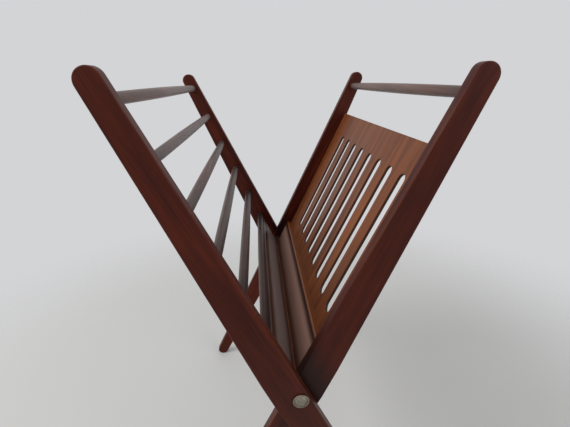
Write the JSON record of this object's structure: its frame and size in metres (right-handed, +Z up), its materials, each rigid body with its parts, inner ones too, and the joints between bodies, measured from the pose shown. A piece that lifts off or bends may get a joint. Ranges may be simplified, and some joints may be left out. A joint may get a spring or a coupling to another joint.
{
  "type": "folding magazine rack",
  "caption": "Free-standing folding magazine rack: two pivoted wooden frames that open into a V, one with round rungs and one with a slotted panel.",
  "frame": {"origin": "on the floor under the pivot, at the middle of the rack's length: the bottom centre of its box", "axes": "+Z up; Y along the rack and the pivot line, with the front legs at -Y; X across the V, with the slotted panel's frame leaning to +X"},
  "size_m": [0.2714, 0.366, 0.5104],
  "materials": {
    "leg_wood": "dark reddish-brown stained hardwood, satin varnish",
    "rung_wood": "dark brown stained turned hardwood, satin varnish",
    "board_wood": "dark brown stained hardwood, glossy varnish",
    "panel_wood": "warm brown stained thin panel, satin varnish",
    "dowel_wood": "plain hardwood dowel",
    "bolt_metal": "aged dull nickel plate",
    "insert_brass": "plain turned brass",
    "washer_steel": "dull plated steel"
  },
  "bodies": {
    "outer_frame": {"outer_leg_front": "leg_wood", "outer_leg_back": "leg_wood", "outer_rung_1": "rung_wood", "outer_rung_2": "rung_wood", "outer_rung_3": "rung_wood", "outer_rung_4": "rung_wood", "outer_rung_5": "rung_wood", "outer_rung_6": "rung_wood", "outer_bottom_board": "board_wood", "outer_board_dowels": "dowel_wood", "pivot_washer_front": "washer_steel", "pivot_washer_back": "washer_steel"},
    "inner_frame": {"inner_leg_front": "leg_wood", "inner_leg_back": "leg_wood", "inner_top_rung": "rung_wood", "slotted_panel": "panel_wood", "inner_bottom_board": "board_wood", "inner_board_dowels": "dowel_wood", "pivot_insert_front": "insert_brass", "pivot_insert_back": "insert_brass", "pivot_bolt_front": "bolt_metal", "pivot_bolt_back": "bolt_metal"}
  },
  "joints": [
    {"name": "fold", "type": "hinge", "parent": "outer_frame", "child": "inner_frame", "pos_m": [0, 0, 0.23952], "axis": [0, -1, 0], "range_deg": [0, 43]}
  ]
}
